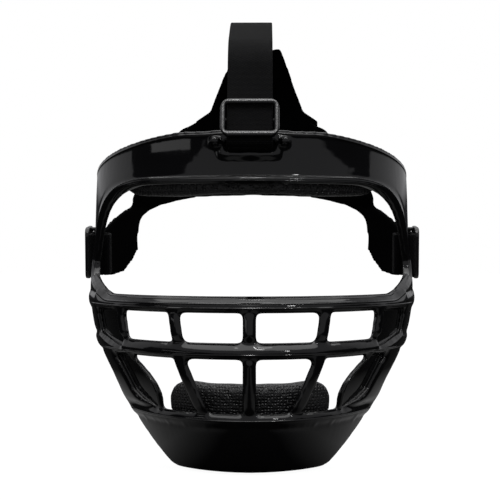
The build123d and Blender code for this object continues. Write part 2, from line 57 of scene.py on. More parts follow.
log = logging.getLogger("face_guard")


class Side(Enum):
    """The two sides of a mirrored pair, as seen from the front."""

    LEFT = -1
    RIGHT = 1

    @property
    def word(self) -> str:
        """The side's name as the CAD nodes use it."""
        return self.name.lower()


class Weave(Enum):
    """How the yarns of a fabric lie."""

    WEBBING = "webbing"
    KNIT = "knit"
    MESH = "mesh"
    FOAM = "foam"


# ---------------------------------------------------------------- finishes


Value = bpy.types.Node | tuple[bpy.types.Node, str | int] | float


class NodeTree:
    """A node tree with short ways to add and feed nodes."""

    mix_inputs = (6, 7)
    mix_output = 2

    def __init__(self, tree: bpy.types.NodeTree) -> None:
        """Empty the tree of a material or a world, and give it texture coordinates."""
        self.tree = tree
        self.tree.nodes.clear()
        self.coords = self.node("ShaderNodeTexCoord")

    def node(self, kind: str, **settings: object) -> bpy.types.Node:
        """Add a node.

        Args:
            kind: The node's type.
            **settings: Attributes to set on it.

        Returns:
            The new node.
        """
        made = self.tree.nodes.new(kind)
        for name, value in settings.items():
            setattr(made, name, value)
        return made

    def feed(self, value: Value, target: bpy.types.Node, into: str | int) -> None:
        """Give an input a value: a number or colour, a node's first output or a named output.

        Args:
            value: The value.
            target: The node that takes it.
            into: The input's name or place.
        """
        if isinstance(value, bpy.types.Node):
            self.tree.links.new(value.outputs[0], target.inputs[into])
        elif isinstance(value, tuple) and isinstance(value[0], bpy.types.Node):
            self.tree.links.new(value[0].outputs[value[1]], target.inputs[into])
        else:
            target.inputs[into].default_value = value

    def split(self, coords: str) -> bpy.types.Node:
        """Split a kind of texture coordinates into X, Y and Z."""
        made = self.node("ShaderNodeSeparateXYZ")
        self.feed((self.coords, coords), made, "Vector")
        return made

    def maths(self, operation: str, first: Value, second: Value = 0.0) -> bpy.types.Node:
        """Add a maths node on two values.

        Args:
            operation: The maths node's operation.
            first: The first value.
            second: The second value, where the operation takes one.

        Returns:
            The maths node.
        """
        made = self.node("ShaderNodeMath", operation=operation)
        self.feed(first, made, 0)
        self.feed(second, made, 1)
        return made

    def spread(
        self, value: Value, span: tuple = (0.0, 1.0), to: tuple = (0.0, 1.0), blend: str = "LINEAR"
    ) -> bpy.types.Node:
        """Map a value from one span to another, and hold it at the ends.

        Args:
            value: The value.
            span: The span that it comes from.
            to: The span that it goes to.
            blend: How it changes between the ends.

        Returns:
            The map-range node.
        """
        made = self.node("ShaderNodeMapRange", interpolation_type=blend)
        for name, number in zip(("From Min", "From Max", "To Min", "To Max"), (*span, *to)):
            made.inputs[name].default_value = number
        self.feed(value, made, "Value")
        return made

    def step(self, value: Value, edge: float, width: float) -> bpy.types.Node:
        """Turn a value into 0 below an edge and 1 above it, over a width either side of it."""
        return self.spread(value, (edge - width, edge + width))

    def pick(self, share: Value, below: Value | tuple, above: Value | tuple) -> Value:
        """Choose between two colours by a share from 0 to 1.

        Args:
            share: The share.
            below: The colour at 0, or the pick that gives it.
            above: The colour at 1, or the pick that gives it.

        Returns:
            The colour, as a value to feed.
        """
        made = self.node("ShaderNodeMix", data_type="RGBA")
        self.feed(share, made, "Factor")
        for place, colour in zip(self.mix_inputs, (below, above)):
            plain = not isinstance(colour[0], bpy.types.Node)
            self.feed((*colour, 1) if plain else colour, made, place)
        return made, self.mix_output


class NodeGraph(NodeTree):
    """A material's node tree, with its Principled shader."""

    bevel_samples = 6

    def __init__(self, name: str, **settings: float | tuple) -> None:
        """Start a material.

        Args:
            name: The material's name.
            **settings: The shader's fixed inputs, with underscores for spaces.
        """
        self.material = bpy.data.materials.new(name)
        self.material.use_nodes = True
        super().__init__(self.material.node_tree)
        self.shader = self.node("ShaderNodeBsdfPrincipled")
        self.feed(self.shader, self.node("ShaderNodeOutputMaterial"), "Surface")
        for into, value in settings.items():
            self.shader.inputs[into.replace("_", " ")].default_value = value

    def texture(self, kind: str, **inputs: float) -> bpy.types.Node:
        """Add a texture on the Object coordinates.

        Args:
            kind: The texture node's type.
            **inputs: Its fixed inputs.

        Returns:
            The texture node.
        """
        made = self.node(kind)
        for name, value in inputs.items():
            made.inputs[name].default_value = value
        self.feed((self.coords, "Object"), made, "Vector")
        return made

    def noise(self, scale: float, detail: float) -> bpy.types.Node:
        """Add a noise of so many blotches in a metre, with so much fine detail."""
        return self.texture("ShaderNodeTexNoise", Scale=scale, Detail=detail)

    def cells(self, pitch: float, randomness: float = 1.0) -> bpy.types.Node:
        """Add cells of a size in metres, whose first output is the distance from a cell's middle."""
        return self.texture("ShaderNodeTexVoronoi", Scale=1 / pitch, Randomness=randomness)

    def tint(self, value: Value, dark: tuple, light: tuple) -> None:
        """Colour the shader's base between two colours.

        Args:
            value: The share of the light colour.
            dark: The colour at 0.
            light: The colour at 1.
        """
        ramp = self.node("ShaderNodeValToRGB")
        for element, colour in zip(ramp.color_ramp.elements, (dark, light)):
            element.color = (*colour, 1)
        self.feed(value, ramp, "Fac")
        self.feed(ramp, self.shader, "Base Color")

    def relief(self, value: Value, height: float, edge: float = 0.0) -> None:
        """Raise the surface by a value, and shade its sharp edges round if asked.

        Args:
            value: The share of the full height.
            height: The full height in metres.
            edge: The radius that sharp edges are shaded with, in metres.
        """
        bump = self.node("ShaderNodeBump")
        if edge:
            rounded = self.node("ShaderNodeBevel", samples=self.bevel_samples)
            rounded.inputs["Radius"].default_value = edge
            self.feed(rounded, bump, "Normal")
        bump.inputs["Distance"].default_value = height
        self.feed(value, bump, "Height")
        self.feed(bump, self.shader, "Normal")


@dataclass(frozen=True)
class TrimLine:
    """A fine raised line of the mould: the measure it follows, and its place and size in millimetres."""

    measure: str
    at: float
    half_width: float
    height: float

    def build(self, graph: NodeGraph, levels: bpy.types.Node) -> bpy.types.Node:
        """Add the line's height.

        Args:
            graph: The material's nodes.
            levels: The split Object coordinates.

        Returns:
            A node whose first output is the height in metres.
        """
        value: Value = (levels, "Z")
        if self.measure != "level":
            value = (graph.node("ShaderNodeAttribute", attribute_name=self.measure), "Fac")
        away = graph.maths("ABSOLUTE", graph.maths("SUBTRACT", value, self.at * MM))
        return graph.spread(away, (0.0, self.half_width * MM), (self.height * MM, 0.0), "SMOOTHSTEP")


@dataclass(frozen=True)
class MouldedPlastic:
    """Injection-moulded black plastic: its gloss, faint flow ripple and handling marks."""

    name: str
    dark: tuple
    light: tuple
    gloss: tuple
    ripple: float
    lines: tuple[TrimLine, ...] = ()
    edge: float = 0.9 * MM
    flow_noise: tuple = (34, 3)
    mark_noise: tuple = (620, 4)
    ior: float = 1.47

    def build(self) -> bpy.types.Material:
        """Make the material."""
        graph = NodeGraph(self.name, IOR=self.ior)
        flow = graph.noise(*self.flow_noise)
        marks = graph.maths("MULTIPLY", graph.noise(*self.mark_noise), flow)
        graph.tint(flow, self.dark, self.light)
        graph.feed(graph.spread(marks, to=self.gloss), graph.shader, "Roughness")
        height = graph.maths("MULTIPLY", flow, self.ripple)
        levels = graph.split("Object")
        for line in self.lines:
            height = graph.maths("ADD", height, line.build(graph, levels))
        graph.relief(height, 1.0, self.edge)
        return graph.material


@dataclass(frozen=True)
class Fabric:
    """A black textile: its yarn pattern, colour variation and sheen."""

    name: str
    weave: Weave
    dark: tuple
    light: tuple
    pitch: float
    depth: float
    sheen: float = 0.0
    roughness: float = 0.6
    specular: float = 0.16
    warp_ratio: float = 1.6
    cross_share: float = 0.35
    rib_share: float = 0.65
    ground: float = 0.2
    mesh_randomness: float = 0.35
    contrast: float = 1.9
    fade_noise: tuple = (42, 5)
    fuzz_noise: tuple = (2600, 2)
    fuzz_share: float = 0.3
    smoothest: float = -0.12
    roughest: float = 0.1
    sheen_roughness: float = 0.45

    def pattern(self, graph: NodeGraph) -> bpy.types.Node:
        """Add the yarn pattern.

        Args:
            graph: The material's nodes.

        Returns:
            A node whose first output is the yarn's height from 0 to 1.
        """
        if self.weave is Weave.WEBBING:
            parts = graph.split("UV")
            turns = 2 * math.pi / self.pitch
            over = graph.maths("SINE", graph.maths("MULTIPLY", (parts, "X"), turns / self.warp_ratio))
            under = graph.maths("SINE", graph.maths("MULTIPLY", (parts, "Y"), turns))
            cross = graph.maths("MULTIPLY", graph.maths("MULTIPLY", over, under), self.cross_share)
            ribs = graph.maths("MULTIPLY", graph.maths("ABSOLUTE", under), self.rib_share)
            return graph.maths("ADD", graph.maths("ADD", cross, ribs), self.ground)
        if self.weave is Weave.KNIT:
            return graph.maths("SUBTRACT", 1.0, graph.cells(self.pitch))
        if self.weave is Weave.MESH:
            holes = graph.cells(self.pitch, self.mesh_randomness)
            return graph.maths("MINIMUM", graph.maths("MULTIPLY", holes, self.contrast), 1.0)
        return graph.cells(self.pitch)

    def build(self) -> bpy.types.Material:
        """Make the material."""
        graph = NodeGraph(
            self.name,
            Sheen_Weight=self.sheen,
            Sheen_Roughness=self.sheen_roughness,
            Specular_IOR_Level=self.specular,
        )
        yarn = self.pattern(graph)
        faded = graph.maths("MULTIPLY", yarn, graph.noise(*self.fade_noise))
        fuzz = graph.noise(*self.fuzz_noise)
        graph.tint(graph.maths("MULTIPLY", faded, self.contrast), self.dark, self.light)
        rough = (self.roughness + self.smoothest, self.roughness + self.roughest)
        graph.feed(graph.spread(fuzz, to=rough), graph.shader, "Roughness")
        graph.relief(graph.maths("ADD", yarn, graph.maths("MULTIPLY", fuzz, self.fuzz_share)), self.depth)
        return graph.material


class Wardrobe:
    """Every finish of the guard, made once, by the record's material slots."""

    finishes = {
        "shell_plastic": MouldedPlastic(
            "gloss_black_moulding",
            dark=(0.0015, 0.0015, 0.0018),
            light=(0.004, 0.004, 0.0045),
            gloss=(0.05, 0.11),
            ripple=0.08 * MM,
            lines=(
                TrimLine("top_gap", 2.3, 0.8, 0.42),
                TrimLine("eye_gap", 3.9, 0.7, 0.35),
                TrimLine("eye_gap", 1.5, 0.6, 0.25),
                TrimLine("level", -31.5, 0.7, 0.3),
                TrimLine("level", -56.5, 0.7, 0.3),
                TrimLine("level", -92.3, 0.7, 0.3),
            ),
        ),
        "slide_plastic": MouldedPlastic(
            "satin_black_slide",
            dark=(0.003, 0.003, 0.0035),
            light=(0.008, 0.008, 0.009),
            gloss=(0.13, 0.26),
            ripple=0.02 * MM,
        ),
        "webbing": Fabric(
            "black_webbing",
            Weave.WEBBING,
            dark=(0.0006, 0.0006, 0.0007),
            light=(0.0045, 0.0045, 0.005),
            pitch=1.6 * MM,
            depth=0.22 * MM,
            sheen=0.008,
            roughness=0.82,
            specular=0.07,
        ),
        "harness_fabric": Fabric(
            "black_stretch_knit",
            Weave.KNIT,
            dark=(0.0003, 0.0003, 0.0004),
            light=(0.0016, 0.0016, 0.0017),
            pitch=0.9 * MM,
            depth=0.1 * MM,
            sheen=0.003,
            roughness=0.85,
            specular=0.03,
        ),
        "pad_cover": Fabric(
            "black_mesh_knit",
            Weave.MESH,
            dark=(0.0005, 0.0005, 0.0006),
            light=(0.007, 0.007, 0.008),
            pitch=1.7 * MM,
            depth=0.8 * MM,
            sheen=0.01,
            roughness=0.3,
            specular=0.7,
        ),
        "pad_foam": Fabric(
            "grey_pad_foam",
            Weave.FOAM,
            dark=(0.05, 0.05, 0.05),
            light=(0.12, 0.12, 0.12),
            pitch=1.1 * MM,
            depth=0.15 * MM,
            roughness=0.9,
        ),
        "hook_tape": Fabric(
            "black_hook_tape",
            Weave.KNIT,
            dark=(0.006, 0.006, 0.007),
            light=(0.03, 0.03, 0.032),
            pitch=1.4 * MM,
            depth=0.5 * MM,
            sheen=0.1,
        ),
        "thread": Fabric(
            "black_thread",
            Weave.KNIT,
            dark=(0.012, 0.012, 0.013),
            light=(0.05, 0.05, 0.052),
            pitch=0.4 * MM,
            depth=0.05 * MM,
            sheen=0.2,
        ),
    }

    def __init__(self) -> None:
        """Make the materials."""
        self.materials = {slot: finish.build() for slot, finish in self.finishes.items()}

    def dress(self, piece: bpy.types.Object, slot: str) -> None:
        """Give a piece the material of a slot."""
        piece.data.materials.clear()
        piece.data.materials.append(self.materials[slot])

    def stand_in(self, piece: bpy.types.Object, node: str, slot: str) -> None:
        """Dress a piece and show it in place of a CAD node.

        Args:
            piece: The piece.
            node: The CAD node that it replaces.
            slot: The record's material slot that it takes its finish from.
        """
        self.dress(piece, slot)
        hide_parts(node)


# ---------------------------------------------------------------- mesh tools


def held(value: float) -> float:
    """Hold a value between 0 and 1."""
    return min(1.0, max(0.0, value))


def smooth_share(value: float, low: float, high: float) -> float:
    """A step that goes smoothly from 0 at its low end to 1 at its high end."""
    share = held((value - low) / (high - low))
    return share * share * (3 - 2 * share)


def hump(value: float, centre: float, width: float) -> float:
    """A smooth hump that is 1 at its centre."""
    return math.exp(-(((value - centre) / width) ** 2))


def round_drop(gap: float, radius: float) -> float:
    """How far a rounded edge lies below a sharp one, at a gap from it."""
    return radius - math.sqrt(radius**2 - (radius - gap) ** 2) if gap < radius else 0.0


def place_tree(places: list[Vector]) -> KDTree:
    """A tree that finds the nearest of some places."""
    tree = KDTree(len(places))
    for index, place in enumerate(places):
        tree.insert(place, index)
    tree.balance()
    return tree


def hand_over(bm: bmesh.types.BMesh, name: str) -> bpy.types.Object:
    """Turn a bmesh into a smooth object in the scene.

    Args:
        bm: The bmesh, which is freed.
        name: The object's name.

    Returns:
        The new object, at the origin.
    """
    mesh = bpy.data.meshes.new(name)
    for face in bm.faces:
        face.smooth = True
    bm.to_mesh(mesh)
    bm.free()
    made = bpy.data.objects.new(name, mesh)
    bpy.context.scene.collection.objects.link(made)
    return made


def modify(piece: bpy.types.Object, name: str, kind: str, **settings: object) -> bpy.types.Modifier:
    """Add a modifier to a piece.

    Args:
        piece: The piece.
        name: The modifier's name.
        kind: Its type.
        **settings: Attributes to set on it.

    Returns:
        The modifier.
    """
    made = piece.modifiers.new(name, kind)
    for setting, value in settings.items():
        setattr(made, setting, value)
    return made


def settle(piece: bpy.types.Object) -> bpy.types.Object:
    """Apply all of a piece's modifiers to its mesh, and return the piece."""
    bpy.context.view_layer.update()
    graph = bpy.context.evaluated_depsgraph_get()
    final = bpy.data.meshes.new_from_object(piece.evaluated_get(graph), depsgraph=graph)
    piece.modifiers.clear()
    old = piece.data
    piece.data = final
    bpy.data.meshes.remove(old)
    return piece


def mesh_copy(mesh: bpy.types.Mesh) -> bmesh.types.BMesh:
    """Copy a mesh into a new bmesh."""
    bm = bmesh.new()
    bm.from_mesh(mesh)
    return bm


def even_out(piece: bpy.types.Object, voxel: float) -> bpy.types.Object:
    """Give a piece an even mesh with a cell in metres, and return the piece."""
    modify(piece, "even", "REMESH", mode="VOXEL", voxel_size=voxel, use_smooth_shade=True)
    return settle(piece)


def even_copy(node: str, name: str, voxel: float) -> bpy.types.Object:
    """Copy a CAD node, merge its loose triangles and give it an even mesh.

    Args:
        node: The CAD node's name.
        name: The new piece's name.
        voxel: The even mesh's cell in metres.

    Returns:
        The new piece.
    """
    bm = mesh_copy(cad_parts[node].data)
    bmesh.ops.remove_doubles(bm, verts=bm.verts, dist=MERGE_DISTANCE)
    return even_out(hand_over(bm, name), voxel)


def soften_edges(
    piece: bpy.types.Object, angle: float, rings: int, passes: int, broad_passes: int = 0
) -> None:
    """Round the edges of an even mesh and leave its broad faces alone.

    Args:
        piece: The piece.
        angle: The turn between two faces that counts as an edge.
        rings: How many rings of points beside an edge are rounded with it.
        passes: How many smoothing passes round them.
        broad_passes: How many passes even out the broad faces.
    """
    bm = mesh_copy(piece.data)
    near = {vert for edge in bm.edges if edge.calc_face_angle(0.0) > angle for vert in edge.verts}
    for _ in range(rings):
        near |= {edge.other_vert(vert) for vert in near for edge in vert.link_edges}
    for verts in [list(near)] * passes + [bm.verts] * broad_passes:
        bmesh.ops.smooth_vert(bm, verts=verts, factor=0.5, use_axis_x=True, use_axis_y=True, use_axis_z=True)
    bm.to_mesh(piece.data)
    bm.free()


def rounded_copy(node: str, name: str, voxel: float, passes: int) -> bpy.types.Object:
    """Copy a CAD node with an even mesh that is softened all over.

    Args:
        node: The CAD node's name.
        name: The new piece's name.
        voxel: The even mesh's cell in metres.
        passes: How many smoothing passes soften it.

    Returns:
        The new piece.
    """
    piece = even_copy(node, name, voxel)
    modify(piece, "soften", "SMOOTH", factor=0.5, iterations=passes)
    return settle(piece)


# ---------------------------------------------------------------- pieces


@dataclass
class Route:
    """A path of straight runs joined by arcs."""

    points: list[Vector]
    radii: list[float]
    least_arc_steps = 4

    def stations(self, step: float = 1.2 * MM) -> list[Vector]:
        """Follow the route in small steps.

        Args:
            step: The longest step in metres.

        Returns:
            Places along the route.
        """
        line: list[Vector] = []
        at = self.points[0]
        for before, corner, after, radius in zip(self.points, self.points[1:], self.points[2:], self.radii):
            into = (corner - before).normalized()
            out = (after - corner).normalized()
            turn = into.angle(out)
            reach = radius * math.tan(turn / 2)
            start = corner - into * reach
            line += self.run(at, start, step)
            axis = into.cross(out).normalized()
            centre = start + axis.cross(into) * radius
            count = max(self.least_arc_steps, int(radius * turn / step))
            for index in range(1, count):
                swing = Matrix.Rotation(turn * index / count, 3, axis)
                line.append(centre + swing @ (start - centre))
            at = corner + out * reach
        return line + self.run(at, self.points[-1], step)

    @staticmethod
    def run(start: Vector, end: Vector, step: float) -> list[Vector]:
        """The places along a straight run, both ends included."""
        count = max(1, int((end - start).length / step))
        return [start.lerp(end, index / count) for index in range(count + 1)]

    @property
    def travelled(self) -> list[float]:
        """How far along the route each station lies, in metres."""
        line = self.stations()
        marks = [0.0]
        for before, after in zip(line, line[1:]):
            marks.append(marks[-1] + (after - before).length)
        return marks


@dataclass(frozen=True)
class OuterForm:
    """The shell's outer form: half width and reach forward at each height, in millimetres."""

    levels: tuple = (
        (-128.0, 64.0, 107.0),
        (-114.0, 69.4, 113.6),
        (-100.0, 75.0, 119.0),
        (-88.0, 80.4, 122.6),
        (-76.0, 86.0, 125.0),
        (-55.0, 95.5, 126.0),
        (-40.0, 99.4, 124.8),
        (-25.0, 101.0, 122.0),
        (0.0, 99.0, 112.0),
        (20.0, 98.0, 105.4),
        (38.5, 97.5, 100.5),
        (57.0, 96.8, 98.4),
        (76.0, 96.0, 97.5),
    )
    least_share: float = 0.01

    def at(self, level: float) -> tuple[float, float]:
        """The half width and the reach at a height, all in millimetres."""
        for low, high in zip(self.levels, self.levels[1:]):
            if level <= high[0]:
                break
        share = (level - low[0]) / (high[0] - low[0])
        return low[1] + share * (high[1] - low[1]), low[2] + share * (high[2] - low[2])

    def look(self, place: Vector) -> tuple[Vector, float, float]:
        """How a place lies to the form.

        Args:
            place: A place in metres.

        Returns:
            The level direction outwards, the depth inside the form in millimetres, and the turn
            from the front in degrees.
        """
        x, y, z = (value / MM for value in place)
        half_width, reach = self.at(z)
        share = math.hypot(x / half_width, y / reach)
        outwards = Vector((x / half_width**2, y / reach**2, 0)).normalized()
        depth = (1 - share) * math.hypot(x, y) / max(share, self.least_share)
        turn = math.degrees(math.atan2(abs(x) / half_width, -y / reach))
        return outwards, depth, turn


@dataclass(frozen=True)
class Ledge:
    """A sloped face along a rail: where it starts, where it is deepest, and how deep it is there."""

    shallow_level: float
    deep_level: float
    depth: float
    last_turn: float = 66.0
    fade_turn: float = 9.0
    skin: float = 5.2
    overrun: float = 1.35

    def reach(self, level: float, depth: float, turn: float) -> float:
        """How far a place moves inwards.

        Args:
            level: The place's height in millimetres.
            depth: Its depth inside the outer form in millimetres.
            turn: Its turn from the front in degrees.

        Returns:
            The move in millimetres.
        """
        share = (level - self.shallow_level) / (self.deep_level - self.shallow_level)
        if not 0 < share <= self.overrun:
            return 0.0
        fade = held((self.last_turn - turn) / self.fade_turn)
        return self.depth * min(share, 1.0) * held(1 - depth / self.skin) * fade


class Outline:
    """An edge of the shell as its side view shows it, to measure how far a place is from it."""

    step = 0.5 * MM

    def __init__(self, corners: tuple, radii: tuple) -> None:
        """Follow the edge.

        Args:
            corners: Its corners, each (forward, up) in millimetres.
            radii: The radius at each corner between the ends, in millimetres.
        """
        route = Route([Vector((0, *corner)) * MM for corner in corners], [radius * MM for radius in radii])
        self.tree = place_tree(route.stations(self.step))

    def gap(self, place: Vector) -> tuple[float, Vector]:
        """How far a place is from the edge, and the edge's nearest place, both in millimetres."""
        nearest, _, distance = self.tree.find(Vector((0, place.y, place.z)))
        return distance / MM, nearest / MM


class Moulding:
    """The moulded shell: band, temple posts, rails, bars and chin cup in one glossy piece.

    Lengths and heights are in millimetres, but for the voxel.
    """

    voxel = 0.66 * MM
    edge_angle = math.radians(13)
    edge_rings = 3
    edge_passes = 12
    broad_passes = 5
    triangles = 192_000
    wall = 6.0
    form = OuterForm()
    ledges = (
        Ledge(-29.6, -25.0, 2.7),
        Ledge(-32.4, -34.1, 0.9),
        Ledge(-54.4, -50.0, 2.7),
        Ledge(-57.4, -59.0, 0.9),
        Ledge(-91.6, -88.4, 2.2),
    )
    ledge_levels = (-95, -20)
    roll_levels = (-34, 50)
    cage_levels = (-98, -24)
    cage_back = 6
    corner_angle = math.radians(32)
    corner_skin = 0.9
    bar_roll = 2.7
    bar_drop = 2.0
    post_roll = 5.6
    post_fade = (-76, -50)
    lip_roll = 3.0
    lip_groove = 0.5
    lip_groove_gap = 1.1
    lip_groove_width = 0.85
    roll_reach = 12
    band_foot = 26
    band_fade = (26, 38)
    bead_height = 0.8
    bead_width = 1.7
    bead_flanks = (0.7, 1.1)
    bead_skin = 3
    bead_groove = 0.35
    bead_groove_gap = 1.4
    bead_groove_width = 0.8
    line_skin = 5.5
    line_far = 30
    lift_foot = 30
    top_lift = 1.4
    top_lift_reach = 9
    slot_fade = (24, 42)

    def __init__(self, wardrobe: Wardrobe) -> None:
        """Follow the shell's two outlines in the side view."""
        self.wardrobe = wardrobe
        self.eye = Outline(((-140, -25), (-66, -25), (-18, -12), (-46, 36.8), (-140, 36.8)), (40, 8, 58))
        self.top = Outline(((-140, 77.2), (-8.5, 46.5), (7, 43.7), (7, 10)), (12, 4))

    def roll(self, place: Vector, depth: float) -> float:
        """How far the edge of the eye opening rolls inwards at a place.

        Args:
            place: The place in metres.
            depth: Its depth inside the outer form.

        Returns:
            The move inwards.
        """
        gap, nearest = self.eye.gap(place)
        back = smooth_share(nearest.y, *self.post_fade)
        front_radius = self.lip_roll if nearest.z > 0 else 0.0
        radius = front_radius + (self.post_roll - front_radius) * back
        if gap > self.roll_reach or radius <= 0:
            return 0.0
        groove = self.lip_groove * hump(gap, radius + self.lip_groove_gap, self.lip_groove_width)
        shown = 1.0 if nearest.z > 0 else back
        return (round_drop(gap, radius) + groove * shown) * held(1 - depth / self.wall)

    def bead(self, place: Vector, depth: float) -> float:
        """How far the band's top edge stands out at a place.

        Args:
            place: The place in metres.
            depth: Its depth inside the outer form.

        Returns:
            The move outwards.
        """
        gap, nearest = self.top.gap(place)
        inner, outer = self.bead_flanks
        proud = 1 - smooth_share(gap, self.bead_width - inner, self.bead_width + outer)
        groove = self.bead_groove * hump(gap, self.bead_width + self.bead_groove_gap, self.bead_groove_width)
        fade = held(1 - depth / self.bead_skin) * smooth_share(nearest.z, *self.band_fade)
        return self.bead_height * (proud - groove) * fade

    def shape(self, piece: bpy.types.Object) -> None:
        """Slope the rails' faces, roll the eye opening's edge and raise the band's bead."""
        for vert in piece.data.vertices:
            level = vert.co.z / MM
            outwards, depth, turn = self.form.look(vert.co)
            move = 0.0
            if vert.co.y < 0 and self.ledge_levels[0] < level < self.ledge_levels[1]:
                move -= sum(ledge.reach(level, depth, turn) for ledge in self.ledges)
            if self.roll_levels[0] < level < self.roll_levels[1]:
                move -= self.roll(vert.co, depth)
            if level > self.band_foot:
                move += self.bead(vert.co, depth)
            vert.co += outwards * (move * MM)

    def in_cage(self, place: Vector) -> bool:
        """Whether a place is in the barred part of the shell."""
        low, high = self.cage_levels
        return place.y <= self.cage_back * MM and low * MM < place.z < high * MM

    def round_bars(self, piece: bpy.types.Object) -> None:
        """Round the outer edges of the rails, bars and recesses in the cage."""
        bm = mesh_copy(piece.data)
        corners = []
        for edge in bm.edges:
            place = edge.verts[0].co
            if self.in_cage(place) and edge.calc_face_angle(0.0) > self.corner_angle:
                outwards, depth, _ = self.form.look(place)
                if depth < self.corner_skin:
                    corners.append(place + outwards * (depth * MM))
        tree = place_tree(corners)
        for vert in bm.verts:
            if not self.in_cage(vert.co):
                continue
            outwards, depth, _ = self.form.look(vert.co)
            gap = tree.find(vert.co + outwards * (depth * MM))[2] / MM
            drop = min(round_drop(gap, self.bar_roll), self.bar_drop)
            vert.co -= outwards * (drop * held(1 - depth / self.wall) * MM)
        bm.to_mesh(piece.data)
        bm.free()

    def measure(self, piece: bpy.types.Object) -> None:
        """Store how far each point is from the band's top and from the eye opening, in metres."""
        for name, outline, foot in (
            ("top_gap", self.top, self.band_foot),
            ("eye_gap", self.eye, self.roll_levels[0]),
        ):
            gaps = piece.data.attributes.new(name, "FLOAT", "POINT")
            for vert, gap in zip(piece.data.vertices, gaps.data):
                near = vert.co.z > foot * MM and self.form.look(vert.co)[1] < self.line_skin
                gap.value = (outline.gap(vert.co)[0] if near else self.line_far) * MM

    def lift(self, piece: bpy.types.Object) -> None:
        """Raise the band's top edge beside its slot by as much as its rounding took off."""
        for vert in piece.data.vertices:
            if vert.co.z < self.lift_foot * MM:
                continue
            gap, nearest = self.top.gap(vert.co)
            share = 1 - smooth_share(gap, 0, self.top_lift_reach)
            share *= smooth_share(nearest.z, *self.band_fade)
            share *= smooth_share(abs(vert.co.x) / MM, *self.slot_fade)
            vert.co.z += self.top_lift * share * MM

    def build(self) -> None:
        """Make the shell's visible piece in place of its CAD node."""
        piece = even_copy("mask_shell", "shell_moulding", self.voxel)
        self.round_bars(piece)
        self.shape(piece)
        soften_edges(piece, self.edge_angle, self.edge_rings, self.edge_passes, self.broad_passes)
        modify(piece, "thin", "DECIMATE", ratio=min(1.0, self.triangles / (2 * len(piece.data.polygons))))
        settle(piece)
        self.measure(piece)
        self.lift(piece)
        self.wardrobe.stand_in(piece, "mask_shell", "shell_plastic")
        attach(piece, GUARD_BODY)
        log.info("%s: %d faces", piece.name, len(piece.data.polygons))


@dataclass
class Ribbon(Route):
    """A length of webbing on a route."""

    across: Vector
    width = 25.4 * MM
    thickness = 1.8 * MM
    columns = 14
    selvedge = 0.54 * MM
    selvedge_steps = 2
    selvedge_angle = math.radians(50)

    def build(self, name: str) -> bpy.types.Object:
        """Make the webbing with its selvedges, and a UV map in metres.

        Args:
            name: The piece's name.

        Returns:
            The piece.
        """
        line, travelled = self.stations(), self.travelled
        bm = bmesh.new()
        bmesh.ops.create_grid(bm, x_segments=self.columns, y_segments=len(line) - 1, size=0.5)
        sheet = bm.loops.layers.uv.new("weave")
        shares: dict[bmesh.types.BMVert, tuple[float, float]] = {}
        for vert in bm.verts:
            row = round((vert.co.y + 0.5) * (len(line) - 1))
            shares[vert] = (vert.co.x * self.width, travelled[row])
            vert.co = line[row] + self.across * (vert.co.x * self.width)
        for face in bm.faces:
            for loop in face.loops:
                loop[sheet].uv = shares[loop.vert]
        piece = hand_over(bm, name)
        modify(piece, "thick", "SOLIDIFY", thickness=self.thickness, offset=0)
        edge = modify(piece, "selvedge", "BEVEL", width=self.selvedge, segments=self.selvedge_steps)
        edge.limit_method = "ANGLE"
        edge.angle_limit = self.selvedge_angle
        return settle(piece)


@dataclass(frozen=True)
class StrapRun:
    """A strap's straight run from its slot: its start in millimetres, and its directions."""

    start: tuple
    along: tuple
    inward: tuple
    across: tuple

    def place(self, along: float, inward: float) -> Vector:
        """A place in metres, by how far along and how far inward it is in millimetres."""
        axes = zip(self.start, self.along, self.inward)
        return Vector([(start + ahead * along + aside * inward) * MM for start, ahead, aside in axes])


